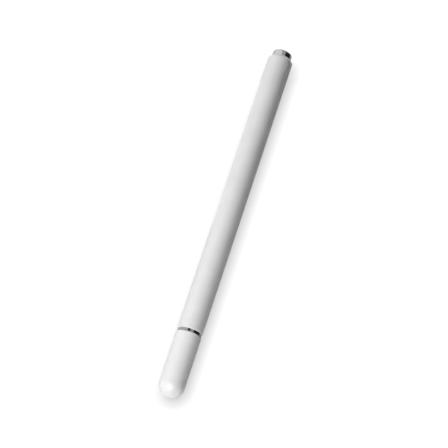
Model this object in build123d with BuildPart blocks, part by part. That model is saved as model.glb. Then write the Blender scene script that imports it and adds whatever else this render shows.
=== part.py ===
from build123d import *
from math import cos, radians, sqrt
import os

# A slim passive stylus pen: a painted tube with a magnetic pull-off cap over a screw-in nib
# whose clear disc tilts on a ball. It lies on its side along Y, cap towards -Y and tail
# towards +Y. The origin is on the surface under it, at the middle of its length.
# Lengths are in millimetres and angles in degrees.

# Clearances
glue_gap = 0.03  # film of glue between bonded pieces
thread_gap = 0.05  # between the plain cylinders of two mating threads
slide_gap = 0.08  # cap lining over the section, and over the tail post
seat_gap = 0.05  # cap mouth to centre ring
ball_gap = 0.05  # ball in its socket
swing_gap = 0.15  # tilted disc inside the cap lining
washer_gap = 0.02  # nib washer to the faces and the thread beside it
cut_overrun = 1.0  # how far a cut runs past its piece

# Barrel: drawn tube, with a sloped shoulder at the tail
barrel_diameter = 9.4
barrel_length = 113.6
barrel_wall = 1.2
barrel_rim_chamfer = 0.2
shoulder_length = 1.05
shoulder_drop = 0.85
shoulder_blend_radius = 0.5

# Barrel bush: threaded insert glued into the front of the barrel
bush_length = 9.0
bush_wall = 0.6

# Centre ring: plated trim ring clamped between the barrel and the section
ring_width = 1.1
ring_recess = 0.18
ring_chamfer = 0.2

# Section: turned core that screws into the bush and carries the magnet and the nose
shank_length = 8.0
shank_chamfer = 0.3
flange_length = 1.2
stub_reach = 3.0

# Section magnet: ring magnet that holds the cap
section_magnet_length = 2.6
section_magnet_wall = 1.4
section_magnet_recess = 0.05
magnet_chamfer = 0.15

# Nose cone: screws onto the section and takes the nib
nose_skirt = 2.4
nose_taper = 4.4
nose_tip_diameter = 3.5
nib_bore_room = 0.4

# Nib: threaded stem with a knurled grip collar, a neck and a ball
nib_thread_diameter = 2.0
nib_thread_length = 2.4
nib_thread_chamfer = 0.2
collar_diameter = 3.0
collar_length = 1.3
knurl_count = 16
knurl_width = 0.34
neck_length = 2.0
neck_root_diameter = 1.5
neck_diameter = 0.84
neck_straight = 1.25
ball_diameter = 1.8

# Nib washer: soft washer that keeps the nib from working loose
washer_thickness = 0.5
washer_inset = 0.06

# Disc socket: sprung cup that snaps over the ball
socket_wall = 0.45
socket_floor = 0.35
socket_lip_angle = 60.0
socket_flange_width = 0.35
socket_flange_height = 0.25
slot_count = 4
slot_width = 0.22
slot_depth = 0.9
slot_turn = 45.0

# Contact plate and clear touch disc
plate_thickness = 0.12
plate_share = 0.3  # of the way from the socket's flange to the disc's rim
disc_thickness = 0.6
disc_rim_thickness = 0.42
disc_chamfer = 0.12

# Cap: turned shell with a round end, a steel ring that the magnets hold, and a moulded lining
cap_length = 23.95
cap_wall = 0.45
cap_rim_chamfer = 0.2
cap_end_wall = 1.2
cap_floor_share = 0.57  # of the bore's radius, where its tapered end runs out to a flat floor
keeper_inset = 0.6
keeper_length = 2.6
lining_wall = 0.42
lining_length = 8.0
lining_chamfer = 0.2

# Tail: plated plug whose post takes the pulled-off cap, with a magnet and its moulded core
post_length = 2.5
post_edge_radius = 0.7
plug_shank_length = 6.0
plug_wall = 0.45
plug_end_wall = 0.6
tail_magnet_length = 2.0
core_rib_count = 6
core_rib_height = 0.25
core_rib_width = 0.5
core_wall = 1.2
core_floor = 1.0

# Stations along the pen, from the round end of the cap to the tail
overall_length = cap_length + seat_gap + ring_width + barrel_length + post_length
tip_end = -overall_length / 2
cap_mouth = tip_end + cap_length
ring_front = cap_mouth + seat_gap
barrel_front = ring_front + ring_width
barrel_back = barrel_front + barrel_length
tail_end = barrel_back + post_length

flange_front = ring_front - flange_length
nose_back = flange_front - section_magnet_length
taper_start = nose_back - nose_skirt
nose_tip = taper_start - nose_taper
stub_end = nose_back - stub_reach

collar_back = nose_tip - washer_thickness - 2 * washer_gap
collar_front = collar_back - collar_length
ball_y = collar_front - neck_length

# Radii of the barrel and of what is bonded or screwed into it
barrel_radius = barrel_diameter / 2
axis_height = barrel_radius
barrel_bore_radius = barrel_radius - barrel_wall
bush_radius = barrel_bore_radius - glue_gap
bush_bore_radius = bush_radius - bush_wall
shank_radius = bush_bore_radius - thread_gap

# Radii of the cap, and of the section and the tail post that it slides over
cap_bore_radius = barrel_radius - cap_wall
lining_radius = cap_bore_radius - glue_gap
lining_bore_radius = lining_radius - lining_wall
post_radius = lining_bore_radius - slide_gap
section_magnet_radius = post_radius - section_magnet_recess
section_magnet_bore_radius = section_magnet_radius - section_magnet_wall
stub_radius = section_magnet_bore_radius - glue_gap

# The pen lies with its axis one barrel radius above the surface
pen_axis = Axis((0, 0, axis_height), (0, 1, 0))
side_plane = Plane(origin=(0, 0, axis_height), x_dir=(0, 1, 0), z_dir=(1, 0, 0))


def across(y):
    """Plane square to the pen's axis at y, facing the tail."""
    return Plane(origin=(0, y, axis_height), x_dir=(1, 0, 0), z_dir=(0, 1, 0))


# Barrel: the tube's section, with a broken front rim and the blended tail shoulder
with BuildPart() as barrel:
    with BuildSketch(side_plane):
        with BuildLine():
            FilletPolyline(
                (barrel_front, barrel_bore_radius),
                (barrel_front, barrel_radius - barrel_rim_chamfer),
                (barrel_front + barrel_rim_chamfer, barrel_radius),
                (barrel_back - shoulder_length, barrel_radius),
                (barrel_back, barrel_radius - shoulder_drop),
                (barrel_back, barrel_bore_radius),
                radius=[0, 0, 0, shoulder_blend_radius, 0, 0],
                close=True,
            )
        make_face()
    revolve(axis=pen_axis)

# Barrel bush: plain sleeve
with BuildPart() as barrel_bush:
    with BuildSketch(across(barrel_front)):
        Circle(bush_radius)
        Circle(bush_bore_radius, mode=Mode.SUBTRACT)
    extrude(amount=bush_length)

# Centre ring: sits a little below the painted surfaces on both sides
ring_radius = barrel_radius - ring_recess
ring_bore_radius = shank_radius + thread_gap
with BuildPart() as centre_ring:
    with BuildSketch(side_plane):
        with BuildLine():
            Polyline(
                (ring_front, ring_bore_radius),
                (ring_front, ring_radius - ring_chamfer),
                (ring_front + ring_chamfer, ring_radius),
                (barrel_front - ring_chamfer, ring_radius),
                (barrel_front, ring_radius - ring_chamfer),
                (barrel_front, ring_bore_radius),
                close=True,
            )
        make_face()
    revolve(axis=pen_axis)

# Section: rear thread, flange that clamps the ring, and front stub for magnet and nose
with BuildPart() as section_core:
    with BuildSketch(side_plane):
        with BuildLine():
            Polyline(
                (barrel_front + shank_length, 0),
                (barrel_front + shank_length, shank_radius - shank_chamfer),
                (barrel_front + shank_length - shank_chamfer, shank_radius),
                (ring_front, shank_radius),
                (ring_front, post_radius),
                (flange_front, post_radius),
                (flange_front, stub_radius),
                (stub_end, stub_radius),
                (stub_end, 0),
                close=True,
            )
        make_face()
    revolve(axis=pen_axis)

# Section magnet: ring on the stub, between the flange and the nose
with BuildPart() as section_magnet:
    with BuildSketch(across(nose_back)):
        Circle(section_magnet_radius)
        Circle(section_magnet_bore_radius, mode=Mode.SUBTRACT)
    extrude(amount=section_magnet_length)
    magnet_ends = section_magnet.faces().filter_by(Axis.Y)
    chamfer([face.outer_wire().edge() for face in magnet_ends], length=magnet_chamfer)

# Nose cone: skirt and taper outside, threads for the stub and the nib inside
nib_thread_radius = nib_thread_diameter / 2
nib_bore_radius = nib_thread_radius + thread_gap
nib_bore_end = nose_tip + nib_thread_length + nib_bore_room
stub_bore_radius = stub_radius + thread_gap
with BuildPart() as nose_cone:
    with BuildSketch(side_plane):
        with BuildLine():
            Polyline(
                (nose_back, stub_bore_radius),
                (nose_back, post_radius),
                (taper_start, post_radius),
                (nose_tip, nose_tip_diameter / 2),
                (nose_tip, nib_bore_radius),
                (nib_bore_end, nib_bore_radius),
                (nib_bore_end, 0),
                (stub_end, 0),
                (stub_end, stub_bore_radius),
                close=True,
            )
        make_face()
    revolve(axis=pen_axis)

# Nib washer: lies between the nose's tip and the collar
collar_radius = collar_diameter / 2
with BuildPart() as nib_washer:
    with BuildSketch(across(collar_back + washer_gap)):
        Circle(collar_radius - washer_inset)
        Circle(nib_thread_radius + washer_gap, mode=Mode.SUBTRACT)
    extrude(amount=washer_thickness)

# Nib: thread, collar, tapering neck and ball in one turned piece, then the collar's straight
# knurl of V-shaped grooves
ball_radius = ball_diameter / 2
neck_radius = neck_diameter / 2
nib_thread_end = nose_tip + nib_thread_length
neck_meets_ball = ball_y + sqrt(ball_radius**2 - neck_radius**2)
with BuildPart() as nib_stem:
    with BuildSketch(side_plane):
        with BuildLine():
            Polyline(
                (ball_y - ball_radius, 0),
                (nib_thread_end, 0),
                (nib_thread_end, nib_thread_radius - nib_thread_chamfer),
                (nib_thread_end - nib_thread_chamfer, nib_thread_radius),
                (collar_back, nib_thread_radius),
                (collar_back, collar_radius),
                (collar_front, collar_radius),
                (collar_front, neck_root_diameter / 2),
                (ball_y + neck_straight, neck_radius),
                (neck_meets_ball, neck_radius),
            )
            ThreePointArc((neck_meets_ball, neck_radius), (ball_y, ball_radius), (ball_y - ball_radius, 0))
        make_face()
    revolve(axis=pen_axis)
    with BuildSketch(across(collar_front)):
        with PolarLocations(collar_radius, knurl_count):
            RegularPolygon(knurl_width / 2, 4)
    extrude(amount=collar_length, mode=Mode.SUBTRACT)

# Disc socket: flanged cup with a round seat, slotted into petals so that it can spring
seat_radius = ball_radius + ball_gap
socket_radius = seat_radius + socket_wall
socket_flange_radius = socket_radius + socket_flange_width
socket_base = ball_y - seat_radius - socket_floor
socket_lip = ball_y + seat_radius * cos(radians(socket_lip_angle))
with BuildPart() as disc_socket:
    with BuildSketch(side_plane):
        with BuildLine():
            Polyline(
                (socket_base, 0),
                (socket_base, socket_flange_radius),
                (socket_base + socket_flange_height, socket_flange_radius),
                (socket_base + socket_flange_height, socket_radius),
                (socket_lip, socket_radius),
                (socket_lip, 0),
                close=True,
            )
        make_face()
    revolve(axis=pen_axis)
    with Locations((0, ball_y, axis_height)):
        Sphere(seat_radius, mode=Mode.SUBTRACT)
    with BuildSketch(across(socket_lip - slot_depth)):
        with PolarLocations(socket_radius, slot_count, start_angle=slot_turn):
            Rectangle(2 * socket_radius, slot_width)
    extrude(amount=slot_depth + cut_overrun, mode=Mode.SUBTRACT)

# Contact plate: thin plate under the socket, let into the top of the disc, which is as wide
# as can tilt in the cap lining
disc_bottom = socket_base - disc_thickness
disc_reach = lining_bore_radius - swing_gap
disc_radius = sqrt(disc_reach**2 - (ball_y - disc_bottom) ** 2)
plate_radius = socket_flange_radius + plate_share * (disc_radius - socket_flange_radius)
plate_bottom = socket_base - plate_thickness
with BuildPart() as contact_plate:
    with BuildSketch(across(plate_bottom)):
        Circle(plate_radius)
    extrude(amount=plate_thickness)

# Touch disc: flat face with a broken edge, and a thinner rim
with BuildPart() as touch_disc:
    with BuildSketch(side_plane):
        with BuildLine():
            Polyline(
                (disc_bottom, 0),
                (disc_bottom, disc_radius - disc_chamfer),
                (disc_bottom + disc_chamfer, disc_radius),
                (disc_bottom + disc_rim_thickness, disc_radius),
                (socket_base, plate_radius + glue_gap),
                (plate_bottom, plate_radius + glue_gap),
                (plate_bottom, 0),
                close=True,
            )
        make_face()
    revolve(axis=pen_axis)

# Cap shell: a tube that runs into a half ball, bored from its mouth to a tapered end
dome_centre = tip_end + barrel_radius
cap_floor = tip_end + cap_end_wall
cap_floor_radius = cap_floor_share * cap_bore_radius
with BuildPart() as cap_shell:
    with BuildSketch(side_plane):
        with BuildLine():
            CenterArc((dome_centre, 0), barrel_radius, 90, 90)
            Polyline(
                (dome_centre, barrel_radius),
                (cap_mouth - cap_rim_chamfer, barrel_radius),
                (cap_mouth, barrel_radius - cap_rim_chamfer),
                (cap_mouth, cap_bore_radius),
                (dome_centre, cap_bore_radius),
                (cap_floor, cap_floor_radius),
                (cap_floor, 0),
                (tip_end, 0),
            )
        make_face()
    revolve(axis=pen_axis)

# Cap keeper ring: steel ring glued in just behind the mouth
keeper_back = cap_mouth - keeper_inset
keeper_front = keeper_back - keeper_length
with BuildPart() as cap_keeper_ring:
    with BuildSketch(across(keeper_front)):
        Circle(lining_radius)
        Circle(lining_bore_radius, mode=Mode.SUBTRACT)
    extrude(amount=keeper_length)

# Cap lining: moulded sleeve behind the keeper, with a lead-in at its inner end
lining_front = keeper_front - lining_length
with BuildPart() as cap_lining:
    with BuildSketch(side_plane):
        with BuildLine():
            Polyline(
                (keeper_front, lining_bore_radius),
                (keeper_front, lining_radius),
                (lining_front, lining_radius),
                (lining_front, lining_bore_radius + lining_chamfer),
                (lining_front + lining_chamfer, lining_bore_radius),
                close=True,
            )
        make_face()
    revolve(axis=pen_axis)

# Tail plug: deep cup, its shank glued in the barrel and its post standing out of the tail
plug_shank_radius = barrel_bore_radius - glue_gap
plug_shank_end = barrel_back - plug_shank_length
plug_bore_radius = plug_shank_radius - plug_wall
plug_bore_end = tail_end - plug_end_wall
with BuildPart() as tail_plug:
    with BuildSketch(side_plane):
        with BuildLine():
            FilletPolyline(
                (tail_end, 0),
                (tail_end, post_radius),
                (barrel_back, post_radius),
                (barrel_back, plug_shank_radius),
                (plug_shank_end, plug_shank_radius),
                (plug_shank_end, plug_bore_radius),
                (plug_bore_end, plug_bore_radius),
                (plug_bore_end, 0),
                radius=[0, post_edge_radius, 0, 0, 0, 0, 0, 0],
                close=True,
            )
        make_face()
    revolve(axis=pen_axis)

# Tail magnet: disc magnet against the end wall of the plug
tail_magnet_front = plug_bore_end - tail_magnet_length
with BuildPart() as tail_magnet:
    with BuildSketch(across(tail_magnet_front)):
        Circle(plug_bore_radius - glue_gap)
    extrude(amount=tail_magnet_length)

# Tail core: moulded plug with crush ribs that keeps the magnet in place
core_radius = plug_bore_radius - glue_gap - core_rib_height
core_length = tail_magnet_front - plug_shank_end
with BuildPart() as tail_core:
    with BuildSketch(across(plug_shank_end)):
        Circle(core_radius)
        with PolarLocations(core_radius, core_rib_count):
            Rectangle(2 * core_rib_height, core_rib_width)
    extrude(amount=core_length)
    with BuildSketch(across(plug_shank_end)):
        Circle(core_radius - core_wall)
    extrude(amount=core_length - core_floor, mode=Mode.SUBTRACT)

pieces = {
    "barrel": barrel,
    "barrel_bush": barrel_bush,
    "centre_ring": centre_ring,
    "section_core": section_core,
    "section_magnet": section_magnet,
    "nose_cone": nose_cone,
    "nib_washer": nib_washer,
    "nib_stem": nib_stem,
    "disc_socket": disc_socket,
    "contact_plate": contact_plate,
    "touch_disc": touch_disc,
    "cap_shell": cap_shell,
    "cap_keeper_ring": cap_keeper_ring,
    "cap_lining": cap_lining,
    "tail_plug": tail_plug,
    "tail_magnet": tail_magnet,
    "tail_core": tail_core,
}
os.makedirs("parts", exist_ok=True)
for name, piece in pieces.items():
    piece.part.label = name
    export_step(piece.part, f"parts/{name}.step")
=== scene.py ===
from math import cos, radians, sin

import bpy
import numpy as np
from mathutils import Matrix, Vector


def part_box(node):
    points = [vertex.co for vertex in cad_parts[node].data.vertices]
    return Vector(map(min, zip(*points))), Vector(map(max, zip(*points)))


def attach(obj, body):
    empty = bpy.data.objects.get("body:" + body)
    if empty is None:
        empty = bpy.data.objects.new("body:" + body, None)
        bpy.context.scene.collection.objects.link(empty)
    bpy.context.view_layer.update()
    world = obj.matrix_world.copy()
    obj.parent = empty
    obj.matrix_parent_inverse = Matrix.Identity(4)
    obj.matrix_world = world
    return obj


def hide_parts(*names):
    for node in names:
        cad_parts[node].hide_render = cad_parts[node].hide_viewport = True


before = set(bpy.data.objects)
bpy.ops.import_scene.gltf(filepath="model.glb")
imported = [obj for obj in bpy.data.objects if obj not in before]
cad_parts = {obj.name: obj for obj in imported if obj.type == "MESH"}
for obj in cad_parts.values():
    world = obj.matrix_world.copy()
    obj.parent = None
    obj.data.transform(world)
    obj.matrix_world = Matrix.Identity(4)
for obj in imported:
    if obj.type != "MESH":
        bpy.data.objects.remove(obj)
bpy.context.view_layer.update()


# Barrel: a drawn aluminium tube, sprayed white and lacquered. A small chamfer breaks its front
# rim, and its tail is turned down to a short sloped shoulder round the chrome post.
mm = 0.001
same_point = 1e-9


def girth(low, high):
    """Radius of a turned node: half the larger of its two sides across the axis, because the facets
    can fall short of the full radius on one of them."""
    return max(high.x - low.x, high.z - low.z) / 2


barrel_low, barrel_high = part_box("barrel")
axis_height = (barrel_low.z + barrel_high.z) / 2
barrel_radius = girth(barrel_low, barrel_high)
barrel_wall = 1.2 * mm
rim_chamfer = 0.2 * mm
shoulder_length = 1.05 * mm
shoulder_drop = 0.85 * mm
shoulder_ease = 0.5 * mm
paint_ease = 0.1 * mm
bore_ease = 0.05 * mm
peel_size = 0.9 * mm
peel_depth = 0.01 * mm
haze_size = 9 * mm
white = (0.84, 0.84, 0.835, 1)
white_in_shade = (0.8, 0.803, 0.805, 1)
outer_columns = 192


def eased(corners, eases, steps=5, flat=0.6, reach=1 / 3):
    """Closed outline of (y, r) points with its corners eased to arcs of so many steps. An arc of
    radius e in a corner that opens by 2h touches both sides e / tan(h) from the corner, and its
    centre lies e / sin(h) along the bisector. A point beside each end of the arc, flat times e past
    it and within reach times the shorter side's length of the corner, keeps the sides flat."""
    corner, ease = np.array(corners, float), np.array(eases, float)[:, None]
    back, ahead = np.roll(corner, 1, 0) - corner, np.roll(corner, -1, 0) - corner
    back_length, ahead_length = np.linalg.norm(back, axis=1), np.linalg.norm(ahead, axis=1)
    back, ahead = back / back_length[:, None], ahead / ahead_length[:, None]
    half = np.arccos(np.clip((back * ahead).sum(1), -1, 1))[:, None] / 2
    bisector = (back + ahead) / (2 * np.cos(half))
    side = (ahead - back) / (2 * np.sin(half))
    touch = ease / np.tan(half)
    shorter = np.minimum(back_length, ahead_length)[:, None]
    beside = np.maximum(np.minimum(reach * shorter, touch + flat * ease), touch)
    beside = np.where(ease > 0, beside, 0)
    turn = (np.pi / 2 - half) * np.linspace(-1, 1, steps + 1)
    centre = (corner + bisector * ease / np.sin(half))[:, None]
    swing = side[:, None] * np.sin(turn)[..., None] - bisector[:, None] * np.cos(turn)[..., None]
    arc = centre + ease[..., None] * swing
    before, after = (corner + back * beside)[:, None], (corner + ahead * beside)[:, None]
    path = np.concatenate([before, arc, after], 1).reshape(-1, 2)
    step = np.linalg.norm(path - np.roll(path, 1, 0), axis=1)
    return path[step > same_point]


def shell(name, place, finish):
    """Mesh on a closed grid of points, rows along the outline and columns round the pen: each cell
    is a face, a row whose points all meet on the axis is one pole, and poles get triangles."""
    rows, columns = place.shape[:2]
    number = np.arange(rows * columns).reshape(rows, columns)
    pole = np.ptp(place, axis=1).max(1) < same_point
    number[pole] = number[pole, :1]
    low, high = number, np.roll(number, -1, 0)
    cells = np.stack([low, np.roll(low, -1, 1), np.roll(high, -1, 1), high], -1)
    low_pole, high_pole = pole, np.roll(pole, -1)
    quads = cells[~low_pole & ~high_pole].reshape(-1, 4)
    fans = np.concatenate([
        cells[low_pole & ~high_pole][..., [0, 2, 3]].reshape(-1, 3),
        cells[~low_pole & high_pole][..., [0, 1, 2]].reshape(-1, 3),
    ])
    used, fresh = np.unique(np.concatenate([quads.ravel(), fans.ravel()]), return_inverse=True)
    quads, fans = fresh[: quads.size].reshape(-1, 4), fresh[quads.size :].reshape(-1, 3)
    mesh = bpy.data.meshes.new(name)
    mesh.from_pydata(place.reshape(-1, 3)[used], [], quads.tolist() + fans.tolist())
    mesh.polygons.foreach_set("use_smooth", np.ones(len(mesh.polygons), bool))
    mesh.materials.append(finish)
    piece = bpy.data.objects.new(name, mesh)
    bpy.context.scene.collection.objects.link(piece)
    return piece


def turned(name, outline, finish, columns=144):
    """Piece turned about the pen's axis: outline point (y, r) at angle a lies at (r sin a, y, height
    of the axis + r cos a). An outline that runs the wrong way round is reversed, so that its faces
    point outwards."""
    y, r = outline.T
    if (y * np.roll(r, -1) - np.roll(y, -1) * r).sum() > 0:
        y, r = y[::-1], r[::-1]
    angle = np.linspace(0, 2 * np.pi, columns, endpoint=False)
    x, z = np.outer(r, np.sin(angle)), np.outer(r, np.cos(angle))
    return shell(name, np.stack([x, np.broadcast_to(y[:, None], x.shape), axis_height + z], -1), finish)


class Finish:
    """One output in a material's node tree. Arithmetic on it adds Math nodes, and node() adds any
    other."""

    def __init__(self, tree, output=None):
        self.tree, self.output = tree, output

    def node(self, kind, settings, values, result=0):
        """Add a node: settings go on the node first, then values or links on its inputs, and the
        output named by result comes back."""
        made = self.tree.nodes.new(kind)
        for key, setting in settings.items():
            setattr(made, key, setting)
        for key, value in values.items():
            if isinstance(value, Finish):
                self.tree.links.new(value.output, made.inputs[key])
            else:
                made.inputs[key].default_value = value
        return Finish(self.tree, made.outputs[result])

    def math(self, operation, *values):
        """Result of one Math node."""
        return self.node("ShaderNodeMath", {"operation": operation}, dict(enumerate(values)))

    def sine(self):
        """Sine of this value, which is in radians."""
        return self.math("SINE", self)

    def mixed(self, first, second):
        """Colour that goes from first to second as this value goes from 0 to 1. The Mix node's sockets
        for colours go by number, because they share their names with those for values."""
        return self.node("ShaderNodeMix", {"data_type": "RGBA"}, {0: self, 6: first, 7: second}, 2)

    def between(self, low, high):
        """0 below low, 1 above high, and a straight run between them."""
        values = {"Value": self, "From Min": low, "From Max": high}
        return self.node("ShaderNodeMapRange", {}, values)

    def seen_ray(self, *kinds):
        """1 for rays of the given kinds, and 0 for the rest."""
        flags = [self.node("ShaderNodeLightPath", {}, {}, f"Is {kind} Ray") for kind in kinds]
        return sum(flags[1:], flags[0])

    def __add__(self, other):
        return self.math("ADD", self, other)

    def __mul__(self, other):
        return self.math("MULTIPLY", self, other)

    __radd__, __rmul__ = __add__, __mul__


def finish_of(name):
    """New material with an empty Principled shader: returns the material, its shader's node and a
    Finish that holds the object's own coordinates."""
    material = bpy.data.materials.new(name)
    material.use_nodes = True
    tree = material.node_tree
    place = Finish(tree).node("ShaderNodeTexCoord", {}, {}, "Object")
    return material, tree.nodes["Principled BSDF"], place


def fed(shader, place, values, constants):
    """Link what changes over the surface, and set what is the same all over."""
    for key, value in values.items():
        place.tree.links.new(value.output, shader.inputs[key])
    for key, value in constants.items():
        shader.inputs[key].default_value = value


def grain(place, size, detail=2):
    """Cloudy noise from 0 to 1, its clouds about size across."""
    values = {"Vector": place, "Scale": 1 / size, "Detail": detail}
    return place.node("ShaderNodeTexNoise", {}, values, "Fac")


def raised(place, height, depth, strength):
    """Normal of a surface that height, from 0 to 1, lifts by depth."""
    values = {"Height": height, "Distance": depth, "Strength": strength}
    return place.node("ShaderNodeBump", {}, values, "Normal")


def white_lacquer():
    """Sprayed white under clear lacquer: orange peel about a millimetre across, faint handling haze
    in the gloss, and a slightly cooler white in the hollows of the spray."""
    material, shader, place = finish_of("white_lacquer")
    peel, haze = grain(place, peel_size), grain(place, haze_size, detail=4)
    fed(shader, place, {
        "Base Color": haze.between(0.35, 0.7).mixed(white, white_in_shade),
        "Roughness": 0.32 + 0.07 * haze + 0.03 * peel,
        "Coat Weight": 0.35 + 0.1 * haze,
        "Normal": raised(place, peel, peel_depth, strength=0.25),
    }, {"Coat Roughness": 0.16, "Coat IOR": 1.5, "IOR": 1.48})
    return material


lacquer = white_lacquer()
barrel_outline = eased(
    [
        (barrel_low.y, barrel_radius - barrel_wall),
        (barrel_low.y, barrel_radius - rim_chamfer),
        (barrel_low.y + rim_chamfer, barrel_radius),
        (barrel_high.y - shoulder_length, barrel_radius),
        (barrel_high.y, barrel_radius - shoulder_drop),
        (barrel_high.y, barrel_radius - barrel_wall),
    ],
    [bore_ease, bore_ease, paint_ease, shoulder_ease, paint_ease, bore_ease],
)
barrel = turned("painted_barrel", barrel_outline, lacquer, columns=outer_columns)
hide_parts("barrel")
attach(barrel, "barrel")


# Barrel bush: a turned brass sleeve glued into the front of the barrel, hidden by it. The
# section screws into it.
stain_size = 2.5 * mm
rub_size = 0.25 * mm
brass_bright = (0.78, 0.6, 0.3, 1)
brass_dull = (0.7, 0.5, 0.24, 1)


def turned_metal(name, colour, worn, roughness, feed, depth=0.002 * mm):
    """Bare or plated metal off the lathe: fine rings along the axis, one per feed of the tool, faint
    cloudy staining, and short rubbed streaks in the gloss."""
    material, shader, place = finish_of(name)
    along = place.node("ShaderNodeSeparateXYZ", {}, {"Vector": place}, "Y")
    rings = 0.5 + 0.5 * (along * (2 * np.pi / feed)).sine()
    stain, rub = grain(place, stain_size, detail=4), grain(place, rub_size, detail=3)
    fed(shader, place, {
        "Base Color": stain.between(0.3, 0.75).mixed(colour, worn),
        "Roughness": roughness * (0.8 + 0.3 * stain + 0.25 * rub),
        "Normal": raised(place, rings + 0.3 * rub, depth, strength=0.35),
    }, {"Metallic": 1.0})
    return material


def refinished(node, finish):
    """Give a carried-over node its finish."""
    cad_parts[node].data.materials.clear()
    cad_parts[node].data.materials.append(finish)


brass = turned_metal("brass", brass_bright, brass_dull, roughness=0.3, feed=0.12 * mm)
refinished("barrel_bush", brass)


# Centre ring: a brass trim ring, polished and chromed, clamped between the barrel and the
# section. It lies a little below the paint on both sides of it.
ring_low, ring_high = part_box("centre_ring")
ring_radius = girth(ring_low, ring_high)
ring_bore = 2.87 * mm
ring_chamfer = 0.03 * mm
ring_ease = 0.02 * mm
chrome_bright = (0.6, 0.605, 0.61, 1)
chrome_grey = (0.54, 0.545, 0.55, 1)
chrome = turned_metal(
    "polished_chrome", chrome_bright, chrome_grey, roughness=0.04, feed=0.09 * mm, depth=0.0002 * mm
)
ring_outline = eased(
    [
        (ring_low.y, ring_bore),
        (ring_low.y, ring_radius - ring_chamfer),
        (ring_low.y + ring_chamfer, ring_radius),
        (ring_high.y - ring_chamfer, ring_radius),
        (ring_high.y, ring_radius - ring_chamfer),
        (ring_high.y, ring_bore),
    ],
    [bore_ease, ring_ease, ring_ease, ring_ease, ring_ease, bore_ease],
)
ring = turned("chrome_ring", ring_outline, chrome, columns=outer_columns)
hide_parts("centre_ring")
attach(ring, "barrel")


# Section: a turned brass core, nickel plated and satin. Its thread is screwed into the bush, its
# flange clamps the ring, and its stub carries the magnet and the nose.
core_low, core_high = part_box("section_core")
magnet_low, magnet_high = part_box("section_magnet")
flange_radius = girth(core_low, core_high)
shank_radius = 2.82 * mm
shank_chamfer = 0.3 * mm
stub_radius = 2.24 * mm
nickel_bright = (0.76, 0.75, 0.725, 1)
nickel_grey = (0.68, 0.67, 0.65, 1)
satin_nickel = turned_metal(
    "satin_nickel", nickel_bright, nickel_grey, roughness=0.22, feed=0.11 * mm
)
core_outline = eased(
    [
        (core_high.y, 0),
        (core_high.y, shank_radius - shank_chamfer),
        (core_high.y - shank_chamfer, shank_radius),
        (ring_low.y, shank_radius),
        (ring_low.y, flange_radius),
        (magnet_high.y, flange_radius),
        (magnet_high.y, stub_radius),
        (core_low.y, stub_radius),
        (core_low.y, 0),
    ],
    [0, bore_ease, bore_ease, 0, bore_ease, bore_ease, 0, bore_ease, 0],
)
section = turned("section_core_turned", core_outline, satin_nickel)
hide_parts("section_core")
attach(section, "barrel")


# Section magnet: a sintered ring magnet with bright nickel plate and chamfered edges, glued on
# the stub behind the nose. It holds the cap by the steel ring in the cap's mouth.
magnet_radius = girth(magnet_low, magnet_high)
magnet_wall = 1.4 * mm
magnet_chamfer = 0.15 * mm
magnet_ease = 0.05 * mm
magnet_bright = (0.66, 0.66, 0.67, 1)
magnet_grey = (0.58, 0.58, 0.6, 1)
magnet_plate = turned_metal(
    "magnet_nickel", magnet_bright, magnet_grey, roughness=0.16, feed=0.3 * mm, depth=0.0006 * mm
)
magnet_outline = eased(
    [
        (magnet_low.y, magnet_radius - magnet_wall),
        (magnet_low.y, magnet_radius - magnet_chamfer),
        (magnet_low.y + magnet_chamfer, magnet_radius),
        (magnet_high.y - magnet_chamfer, magnet_radius),
        (magnet_high.y, magnet_radius - magnet_chamfer),
        (magnet_high.y, magnet_radius - magnet_wall),
    ],
    [magnet_ease] * 6,
)
magnet = turned("ring_magnet", magnet_outline, magnet_plate)
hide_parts("section_magnet")
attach(magnet, "barrel")


# Nose cone: turned brass with the section's satin nickel plate. It is screwed onto the stub,
# and the nib's thread is tapped into its tip.
nose_low, nose_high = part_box("nose_cone")
nose_radius = girth(nose_low, nose_high)
nose_taper = 4.4 * mm
nose_tip_radius = 1.75 * mm
nose_ease = 0.9 * mm
nose_edge = 0.08 * mm
nib_bore = 1.05 * mm
nib_bore_depth = 2.8 * mm
thread_gap = 0.05 * mm
stub_bore = stub_radius + thread_gap
nose_outline = eased(
    [
        (nose_high.y, stub_bore),
        (nose_high.y, nose_radius),
        (nose_low.y + nose_taper, nose_radius),
        (nose_low.y, nose_tip_radius),
        (nose_low.y, nib_bore),
        (nose_low.y + nib_bore_depth, nib_bore),
        (nose_low.y + nib_bore_depth, 0),
        (core_low.y, 0),
        (core_low.y, stub_bore),
    ],
    [nose_edge, nose_edge, nose_ease, nose_edge, nose_edge, 0, 0, 0, 0],
)
nose = turned("nose_cone_turned", nose_outline, satin_nickel)
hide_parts("nose_cone")
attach(nose, "barrel")


# Nib washer: a soft black rubber washer pressed between the nose and the nib's collar, so that
# the nib can't work loose.
washer_low, washer_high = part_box("nib_washer")
washer_radius = girth(washer_low, washer_high)
washer_bore = 1.02 * mm
washer_ease = 0.12 * mm
pore_size = 0.08 * mm
pore_depth = 0.01 * mm
dust_size = 0.6 * mm
rubber_black = (0.02, 0.02, 0.021, 1)
rubber_dusty = (0.06, 0.058, 0.055, 1)
small_columns = 96


def black_rubber():
    """Moulded black rubber, matt, with dust caught in its fine pores."""
    material, shader, place = finish_of("soft_rubber")
    pores, dust = grain(place, pore_size, detail=3), grain(place, dust_size, detail=4)
    fed(shader, place, {
        "Base Color": dust.between(0.45, 0.8).mixed(rubber_black, rubber_dusty),
        "Roughness": 0.6 + 0.25 * pores,
        "Normal": raised(place, pores, pore_depth, strength=0.5),
    }, {})
    return material


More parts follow.
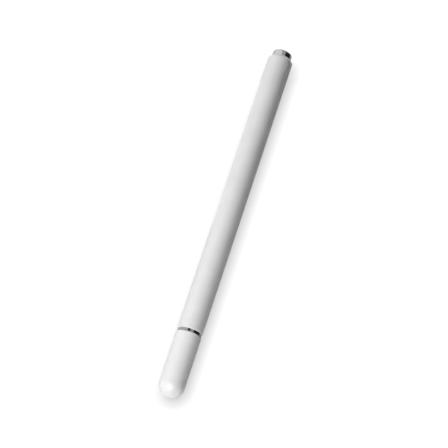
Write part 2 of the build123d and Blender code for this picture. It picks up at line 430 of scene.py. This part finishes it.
washer_outline = eased(
    [
        (washer_low.y, washer_bore),
        (washer_low.y, washer_radius),
        (washer_high.y, washer_radius),
        (washer_high.y, washer_bore),
    ],
    [washer_ease] * 4,
)
washer = turned("rubber_washer", washer_outline, black_rubber(), columns=small_columns)
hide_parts("nib_washer")
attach(washer, "nib_seal")


# Nib: one turned and plated piece with a fine thread, a straight-knurled grip collar, a tapering
# neck and a polished ball that the disc turns on.
nib_low, nib_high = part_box("nib_stem")
washer_gap = 0.02 * mm
collar_length = 1.3 * mm
collar_radius = 1.5 * mm
collar_back = washer_low.y - washer_gap
collar_front = collar_back - collar_length
thread_radius = 1.0 * mm
thread_pitch = 0.4 * mm
thread_depth = 0.2 * mm
thread_chamfer = 0.2 * mm
thread_run_out = thread_pitch / 2
steps_per_pitch = 8
knurl_count = 16
knurl_depth = 0.15 * mm
knurl_groove_share = 1 / 3
ball_radius = 0.9 * mm
neck_radius = 0.42 * mm
neck_root_radius = 0.75 * mm
neck_straight = 1.25 * mm
neck_ease = 0.2 * mm
nib_edge = 0.06 * mm
ball_steps = 28
nib_columns = 192


def nib_outline():
    """Nib from the ball's end to the thread's end: the ball is an arc about its centre, up to where
    the neck meets it, and the rest is eased corners. The stem's first corner lies inside the ball and is
    left out."""
    ball = nib_low.y + ball_radius
    sweep = np.linspace(np.pi, np.arcsin(neck_radius / ball_radius), ball_steps)
    ball_arc = np.stack([ball + ball_radius * np.cos(sweep), ball_radius * np.sin(sweep)], 1)
    ball_arc[0, 1] = 0
    stem = eased(
        [
            (ball, neck_radius),
            (ball + neck_straight, neck_radius),
            (collar_front, neck_root_radius),
            (collar_front, collar_radius),
            (collar_back, collar_radius),
            (collar_back, thread_radius),
            (nib_high.y - thread_chamfer, thread_radius),
            (nib_high.y, thread_radius - thread_chamfer),
            (nib_high.y, 0),
        ],
        [0, neck_ease, nib_edge, nib_edge, nib_edge, nib_edge, nib_edge, nib_edge, 0],
    )
    return np.concatenate([ball_arc, stem[1:]])


def filled(outline, gap):
    """Outline with points added on its long runs, so that none is longer than gap. A run of n gaps
    gets points at 1/n, 2/n and so on of its length."""
    run = np.diff(outline, axis=0)
    parts = np.ceil(np.linalg.norm(run, axis=1) / gap).astype(int)
    start = np.repeat(outline[:-1], parts, 0)
    place = np.arange(parts.sum()) - np.repeat(np.cumsum(parts) - parts, parts)
    share = place / np.repeat(parts, parts)
    return np.concatenate([start + share[:, None] * np.repeat(run, parts, 0), outline[-1:]])


def vee(phase):
    """V-shaped groove that repeats with each unit of phase: 1 at whole numbers, 0 halfway between."""
    return 2 * np.abs(phase - np.floor(phase) - 0.5)


def cut_nib():
    """Nib's surface: the turned outline, cut down where a V-shaped groove is deeper. On the collar the
    groove follows the angle, knurl_count times round. On the thread it follows y less a pitch per
    turn, and runs out over half a pitch at both ends."""
    y, r = filled(nib_outline(), thread_pitch / steps_per_pitch).T
    angle = np.linspace(0, 2 * np.pi, nib_columns, endpoint=False)
    along, out, turn = y[:, None], r[:, None], angle / (2 * np.pi)
    knurl = knurl_depth * np.clip(1 - (1 - vee(knurl_count * turn)) / knurl_groove_share, 0, 1)
    run_out = np.clip(np.minimum(along - collar_back, nib_high.y - along) / thread_run_out, 0, 1)
    groove = thread_depth * vee(along / thread_pitch - turn) * run_out
    past_neck = along > collar_front - nib_edge
    on_collar = past_neck & (along < collar_back + nib_edge)
    limit = np.where(on_collar, collar_radius - knurl, thread_radius - groove)
    radius = np.where(past_neck, np.minimum(out, limit), out)
    x, z = radius * np.sin(angle), radius * np.cos(angle)
    return np.stack([x, np.broadcast_to(along, x.shape), axis_height + z], -1)


nib = shell("threaded_nib", cut_nib(), satin_nickel)
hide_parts("nib_stem")
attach(nib, "nib")


# Disc socket: a small stamped spring cup with four slots that snaps over the ball. Its flange is
# bonded to the contact plate.
spring_bright = (0.72, 0.72, 0.73, 1)
spring_grey = (0.62, 0.62, 0.64, 1)
spring_steel = turned_metal(
    "spring_steel", spring_bright, spring_grey, roughness=0.2, feed=0.2 * mm, depth=0.0008 * mm
)
refinished("disc_socket", spring_steel)


# Contact plate: a thin disc of the same bright sheet, let into the top of the clear disc. It
# couples the nib to the screen.
plate_low, plate_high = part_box("contact_plate")
plate_radius = girth(plate_low, plate_high)
plate_ease = 0.03 * mm
plate_metal = turned_metal(
    "bright_sheet", spring_bright, spring_grey, roughness=0.18, feed=0.4 * mm, depth=0.0004 * mm
)
plate_outline = eased(
    [
        (plate_low.y, 0),
        (plate_low.y, plate_radius),
        (plate_high.y, plate_radius),
        (plate_high.y, 0),
    ],
    [0, plate_ease, plate_ease, 0],
)
plate = turned("contact_plate_cut", plate_outline, plate_metal, columns=small_columns)
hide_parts("contact_plate")
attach(plate, "disc")


# Touch disc: clear moulded polycarbonate, polished flat below, thinner at the rim and recessed on
# top for the contact plate.
disc_low, disc_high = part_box("touch_disc")
disc_radius = girth(disc_low, disc_high)
disc_rim = 0.42 * mm
disc_chamfer = 0.12 * mm
disc_ease = 0.04 * mm
glue_gap = 0.03 * mm
disc_recess = plate_radius + glue_gap
plate_gap = 0.01 * mm
flow_size = 1.5 * mm
flow_depth = 0.01 * mm
scratch_size = 0.12 * mm
clear_pale = (0.93, 0.96, 0.97, 1)
clear_deep = (0.89, 0.93, 0.95, 1)


def clear_plastic():
    """Clear plastic with faint flow lines from the mould and fine scratches from the screen."""
    material, shader, place = finish_of("clear_disc")
    flow, scratch = grain(place, flow_size), grain(place, scratch_size, detail=3)
    fed(shader, place, {
        "Base Color": flow.mixed(clear_pale, clear_deep),
        "Roughness": 0.02 + 0.06 * scratch.between(0.5, 0.8),
        "Normal": raised(place, flow, flow_depth, strength=0.1),
    }, {"Transmission Weight": 1.0, "IOR": 1.5})
    return material


disc_outline = eased(
    [
        (disc_low.y, 0),
        (disc_low.y, disc_radius - disc_chamfer),
        (disc_low.y + disc_chamfer, disc_radius),
        (disc_low.y + disc_rim, disc_radius),
        (disc_high.y, disc_recess),
        (plate_low.y - plate_gap, disc_recess),
        (plate_low.y - plate_gap, 0),
    ],
    [0, disc_ease, disc_ease, disc_ease, disc_ease, 0, 0],
)
disc = turned("clear_touch_disc", disc_outline, clear_plastic())
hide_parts("touch_disc")
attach(disc, "disc")


# Cap: an aluminium shell turned to a half ball at its end, sprayed and lacquered with the barrel.
# Inside it is bare metal, bored to a tapered end.
cap_low, cap_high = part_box("cap_shell")
cap_wall = 0.45 * mm
cap_bore = barrel_radius - cap_wall
cap_end_wall = 1.2 * mm
cap_floor_share = 0.57
cap_floor_radius = cap_floor_share * cap_bore
dome_steps = 40
aluminium_bright = (0.8, 0.8, 0.81, 1)
aluminium_grey = (0.7, 0.7, 0.72, 1)


def cap_outline():
    """Cap from its tip: a quarter circle about the dome's centre, then eased corners round the mouth
    and along the bore."""
    dome = cap_low.y + barrel_radius
    sweep = np.linspace(np.pi, np.pi / 2, dome_steps)
    quarter = np.stack([dome + barrel_radius * np.cos(sweep), barrel_radius * np.sin(sweep)], 1)
    quarter[0, 1] = 0
    tube = eased(
        [
            (dome, barrel_radius),
            (cap_high.y - rim_chamfer, barrel_radius),
            (cap_high.y, barrel_radius - rim_chamfer),
            (cap_high.y, cap_bore),
            (dome, cap_bore),
            (cap_low.y + cap_end_wall, cap_floor_radius),
            (cap_low.y + cap_end_wall, 0),
        ],
        [0, paint_ease, bore_ease, bore_ease, bore_ease, bore_ease, 0],
    )
    return np.concatenate([quarter[:-1], tube])


cap = turned("painted_cap", cap_outline(), lacquer, columns=outer_columns)
bored_aluminium = turned_metal(
    "bored_aluminium", aluminium_bright, aluminium_grey, roughness=0.32, feed=0.15 * mm
)
cap.data.materials.append(bored_aluminium)
# Faces inside the middle of the wall are bare metal: along the tube their distance is taken from the
# axis, and in the dome from its centre.
face_middle = np.empty(len(cap.data.polygons) * 3)
cap.data.polygons.foreach_get("center", face_middle)
face_middle = face_middle.reshape(-1, 3) - (0, cap_low.y + barrel_radius, axis_height)
in_dome = np.minimum(face_middle[:, 1], 0)
from_centre = np.sqrt(face_middle[:, 0] ** 2 + face_middle[:, 2] ** 2 + in_dome**2)
inner = from_centre < (barrel_radius + cap_bore) / 2
cap.data.polygons.foreach_set("material_index", inner.astype(np.int32))
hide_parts("cap_shell")
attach(cap, "cap")


# Cap keeper: a plain ring turned from steel and glued in just behind the cap's mouth. The magnets in
# the section and in the tail pull it.
keeper_low, keeper_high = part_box("cap_keeper_ring")
keeper_radius = girth(keeper_low, keeper_high)
lining_bore = 3.8 * mm
keeper_ease = 0.08 * mm
steel_bright = (0.6, 0.6, 0.62, 1)
steel_grey = (0.5, 0.5, 0.52, 1)
satin_steel = turned_metal("satin_steel", steel_bright, steel_grey, roughness=0.28, feed=0.12 * mm)
keeper_outline = eased(
    [
        (keeper_low.y, lining_bore),
        (keeper_low.y, keeper_radius),
        (keeper_high.y, keeper_radius),
        (keeper_high.y, lining_bore),
    ],
    [keeper_ease] * 4,
)
keeper = turned("keeper_ring", keeper_outline, satin_steel)
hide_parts("cap_keeper_ring")
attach(keeper, "cap")


# Cap lining: a white moulded sleeve glued in behind the keeper. It guides the cap along the
# section, and its inner end has a lead-in.
lining_low, lining_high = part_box("cap_lining")
lining_radius = girth(lining_low, lining_high)
lining_lead = 0.2 * mm
lining_ease = 0.06 * mm
spark_size = 0.12 * mm
spark_depth = 0.008 * mm
cloud_size = 4 * mm
lining_white = (0.8, 0.8, 0.79, 1)
lining_shade = (0.75, 0.75, 0.745, 1)


def moulded_plastic(name, colour, shade, roughness):
    """Plain moulded plastic: a fine spark texture from the mould and slightly uneven colour."""
    material, shader, place = finish_of(name)
    spark, cloud = grain(place, spark_size), grain(place, cloud_size, detail=3)
    fed(shader, place, {
        "Base Color": cloud.between(0.3, 0.7).mixed(colour, shade),
        "Roughness": roughness + 0.12 * spark,
        "Normal": raised(place, spark, spark_depth, strength=0.4),
    }, {})
    return material


white_moulding = moulded_plastic("white_moulding", lining_white, lining_shade, roughness=0.4)
lining_outline = eased(
    [
        (lining_low.y, lining_bore + lining_lead),
        (lining_low.y, lining_radius),
        (lining_high.y, lining_radius),
        (lining_high.y, lining_bore),
        (lining_low.y + lining_lead, lining_bore),
    ],
    [lining_ease] * 5,
)
lining = turned("moulded_lining", lining_outline, white_moulding)
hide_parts("cap_lining")
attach(lining, "cap")


# Tail plug: a deep-drawn brass cup, polished and chromed. Its shank is glued into the barrel, and
# its post with the rounded edge stands out of the shoulder to take the pulled-off cap.
plug_low, plug_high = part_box("tail_plug")
post_radius = girth(plug_low, plug_high)
post_edge = 0.7 * mm
plug_wall = 0.45 * mm
plug_shank_radius = barrel_radius - barrel_wall - glue_gap
plug_bore = plug_shank_radius - plug_wall
plug_end_wall = 0.6 * mm
plug_outline = eased(
    [
        (plug_high.y, 0),
        (plug_high.y, post_radius),
        (barrel_high.y, post_radius),
        (barrel_high.y, plug_shank_radius),
        (plug_low.y, plug_shank_radius),
        (plug_low.y, plug_bore),
        (plug_high.y - plug_end_wall, plug_bore),
        (plug_high.y - plug_end_wall, 0),
    ],
    [0, post_edge, bore_ease, 0, bore_ease, bore_ease, 0, 0],
    steps=10,
)
plug = turned("chrome_tail_plug", plug_outline, chrome, columns=outer_columns)
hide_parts("tail_plug")
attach(plug, "barrel")


# Tail magnet: a sintered disc magnet, nickel plated like the section's, that lies against the plug's
# end wall. It holds the cap when the cap is pushed over the post.
refinished("tail_magnet", magnet_plate)


# Tail core: a ribbed grey moulding, pushed into the plug behind the magnet to keep it in place. The plug
# and the barrel close it in.
core_grey = (0.35, 0.35, 0.36, 1)
core_shade = (0.3, 0.3, 0.31, 1)
grey_moulding = moulded_plastic("grey_moulding", core_grey, core_shade, roughness=0.5)
refinished("tail_core", grey_moulding)


# Table: a plain white sheet under the pen. Where it is seen, it glows by how open it lies towards the
# upper left, so the pen's shadow on it is a painted shadow, soft and falling to the right.
def grey(tone):
    """Colour of a plain grey."""
    return tone, tone, tone, 1


table_half = 3.0
paper_glow = 1.03
paper_share = 0.05
shadow_reach = 5.5 * mm
shadow_softness = 0.5
shadow_heading = (-0.4, 0.5, 1)
fibre_size = 0.4 * mm
paper_white = np.array(grey(0.6))
paper_grey = np.array(grey(0.58))
paper, paper_shader, paper_place = finish_of("white_paper")
paper_fibre = grain(paper_place, fibre_size, detail=3)
paper_lit = paper_fibre.mixed(paper_white, paper_grey)
paper_dim = paper_fibre.mixed(paper_share * paper_white, paper_share * paper_grey)
paper_seen = paper_place.seen_ray("Camera", "Glossy", "Transmission")
shadow_lean = paper_place.node("ShaderNodeVectorMath", {"operation": "NORMALIZE"}, {0: shadow_heading})
shadow_values = {"Distance": shadow_reach, "Normal": shadow_lean}
# This openness darkens the table's glow round the pen: a painted shadow, which the lamps hardly add to.
painted_shadow_openness = paper_place.node("ShaderNodeAmbientOcclusion", {}, shadow_values, "AO")
fed(paper_shader, paper_place, {
    "Base Color": paper_seen.mixed(paper_lit, paper_dim),
    "Roughness": 0.85 + 0.1 * paper_fibre,
    "Emission Color": paper_seen * painted_shadow_openness.math("POWER", painted_shadow_openness, shadow_softness),
}, {"Emission Strength": paper_glow})
table_mesh = bpy.data.meshes.new("table")
table_corner = np.array([(-1, -1, 0), (1, -1, 0), (1, 1, 0), (-1, 1, 0)], float) * table_half
table_mesh.from_pydata(table_corner, [], [(0, 1, 2, 3)])
table_mesh.materials.append(paper)
table = bpy.data.objects.new("table", table_mesh)
bpy.context.scene.collection.objects.link(table)


# Cards: strips of board beside the pen, each with a foot on the table and a wall. Only reflections show
# them: they glow as painted reflections. The one on the right is black above a grey skirt, which paints
# the reflection of the pen's shaded table, and the two low ones on the left are grey.
card_foot = 7 * mm
card_wall = 16 * mm
card_lift = 0.2 * mm
skirt_height = 2.9 * mm
skirt_blur = 0.2 * mm
card_past_tip = 4.4 * mm
black_past_tail = 12.4 * mm
tail_card_past_tail = 9.4 * mm
tail_card_before = 6.1 * mm
foot_past_tail = 1.4 * mm


def card(name, side, skirt_tone, wall_tone, height, front, back, foot_back):
    """Board folded along the pen on one side of it, -1 or 1. Its wall runs from front to back, and its foot
    is cut off slanting from foot_back, clear of the tail's end face. It glows as a painted reflection, in
    the skirt's tone up to the skirt's height and in the wall's tone above it."""
    board, shader, place = finish_of(name)
    up = place.node("ShaderNodeSeparateXYZ", {}, {"Vector": place}, "Z")
    over_skirt = up.between(skirt_height - skirt_blur, skirt_height + skirt_blur)
    fed(shader, place, {"Emission Color": over_skirt.mixed(grey(skirt_tone), grey(wall_tone))}, {
        "Base Color": grey(0),
        "Roughness": 1.0,
        "Emission Strength": 1.0,
    })
    foot_x, wall_x = side * card_foot, side * card_wall
    foot = [(foot_x, front, card_lift), (foot_x, foot_back, card_lift)]
    fold = [(wall_x, front, card_lift), (wall_x, back, card_lift)]
    rim = [(wall_x, front, height), (wall_x, back, height)]
    mesh = bpy.data.meshes.new(name)
    mesh.from_pydata(foot + fold + rim, [], [(0, 1, 3, 2), (2, 3, 5, 4)])
    mesh.materials.append(board)
    strip = bpy.data.objects.new(name, mesh)
    strip.visible_camera = strip.visible_diffuse = strip.visible_transmission = strip.visible_shadow = False
    bpy.context.scene.collection.objects.link(strip)


card(
    "black_reflection_card",
    side=1,
    skirt_tone=0.3,
    wall_tone=0.011,
    height=28 * mm,
    front=cap_low.y - card_past_tip,
    back=plug_high.y + black_past_tail,
    foot_back=plug_high.y + foot_past_tail,
)
card(
    "grey_reflection_card",
    side=-1,
    skirt_tone=0.68,
    wall_tone=0.68,
    height=8 * mm,
    front=cap_low.y - card_past_tip,
    back=0,
    foot_back=0,
)
card(
    "tail_reflection_card",
    side=-1,
    skirt_tone=0.78,
    wall_tone=0.78,
    height=7 * mm,
    front=barrel_high.y - tail_card_before,
    back=plug_high.y + tail_card_past_tail,
    foot_back=plug_high.y + foot_past_tail,
)


# Studio: three soft boxes, the main one left of the tail, one above the cap's end and a small one to its
# right. The room round them is dim. Chrome and clear plastic show a painted reflection of it instead, pale,
# grey on the right, with a dark gap overhead.
middle = Vector((0, 0, axis_height))


def soft_box(name, heading, distance, size, power, mirrored=True):
    """Square area light at distance from the middle of the pen in the direction of heading, turned
    to the pen. One that isn't mirrored stays out of the reflections."""
    light = bpy.data.lights.new(name, "AREA")
    light.shape, light.size, light.energy = "SQUARE", size, power
    lamp = bpy.data.objects.new(name, light)
    away = Vector(heading).normalized()
    lamp.location = middle + distance * away
    lamp.rotation_euler = (-away).to_track_quat("-Z", "Y").to_euler()
    lamp.visible_glossy = mirrored
    bpy.context.scene.collection.objects.link(lamp)


soft_box(
    "left_box", heading=(-0.6, 0.37, 0.7), distance=0.99, size=0.35, power=5.15, mirrored=False
)
soft_box("front_box", heading=(-0.13, -0.76, 0.64), distance=0.386, size=0.24, power=0.93)
soft_box(
    "right_box", heading=(0.3, -0.85, 0.43), distance=0.3, size=0.12, power=0.09, mirrored=False
)

# The room lights the pen from its left. What the chrome shows is a painted reflection that lights nothing:
# it goes from pale_front to pale_back along the pen, and to grey_side on the right. Each turn is the span
# of directions in which one tone goes into the next, and the gap's edge is such a span too.
lit_left = grey(0.14)
lit_right = grey(0.01)
lit_turn = (-0.6, 0.5)
pale_front = grey(0.62)
pale_back = grey(1)
pale_turn = (0.32, 0.46)
grey_side = grey(0.45)
grey_lean = 1.3
grey_turn = (0.436, 0.576)
dark_gap = grey(0.02)
gap_heading = (-0.09, 0.32, 0)
gap_squeeze = (1, 2.3, 0)
gap_edge = (0.16, 0.24)
white_ground = grey(1)
world = bpy.data.worlds.new("studio")
bpy.context.scene.world = world
world.use_nodes = True
room = Finish(world.node_tree)
ray = room.node("ShaderNodeTexCoord", {}, {}, "Generated")
across = room.node("ShaderNodeSeparateXYZ", {}, {"Vector": ray}, "X")
along = room.node("ShaderNodeSeparateXYZ", {}, {"Vector": ray}, "Y")
off_gap = room.node("ShaderNodeVectorMath", {"operation": "SUBTRACT"}, {0: ray, 1: gap_heading})
squeezed = room.node("ShaderNodeVectorMath", {"operation": "MULTIPLY"}, {0: off_gap, 1: gap_squeeze})
gap_distance = room.node("ShaderNodeVectorMath", {"operation": "LENGTH"}, {0: squeezed}, "Value")
lit_room = across.between(*lit_turn).mixed(lit_left, lit_right)
# The painted reflection that chrome, lacquer and clear plastic show, though it lights nothing.
painted_reflection_room = along.between(*pale_turn).mixed(pale_front, pale_back)
painted_reflection_room = (across + grey_lean * along).between(*grey_turn).mixed(painted_reflection_room, grey_side)
painted_reflection_room = gap_distance.between(*gap_edge).mixed(dark_gap, painted_reflection_room)
shade = room.seen_ray("Glossy", "Transmission").mixed(lit_room, painted_reflection_room)
shade = room.seen_ray("Camera").mixed(shade, white_ground)
world.node_tree.links.new(shade.output, world.node_tree.nodes["Background"].inputs["Color"])


# Camera: a long lens above the cap's end, looking down the pen towards its tail. The focal length and
# the shift of the picture are in pixels of the picture.
camera_azimuth = radians(17.10)
camera_elevation = radians(66.92)
camera_distance = 707.7 * mm
camera_target = Vector((0, -2.2 * mm, axis_height))
image_width = 448
focal_pixels = 1960
shift_right = -1.73
shift_up = 0.4
sensor_width = 36
camera_back = Vector((
    sin(camera_azimuth) * cos(camera_elevation),
    -cos(camera_azimuth) * cos(camera_elevation),
    sin(camera_elevation),
))
lens = bpy.data.cameras.new("camera")
lens.sensor_width = sensor_width
lens.lens = sensor_width * focal_pixels / image_width
lens.shift_x = shift_right / image_width
lens.shift_y = shift_up / image_width
camera = bpy.data.objects.new("camera", lens)
camera.location = camera_target + camera_distance * camera_back
camera.rotation_euler = (-camera_back).to_track_quat("-Z", "Y").to_euler()
bpy.context.scene.collection.objects.link(camera)
bpy.context.scene.camera = camera
bpy.context.scene.view_settings.view_transform = "Standard"
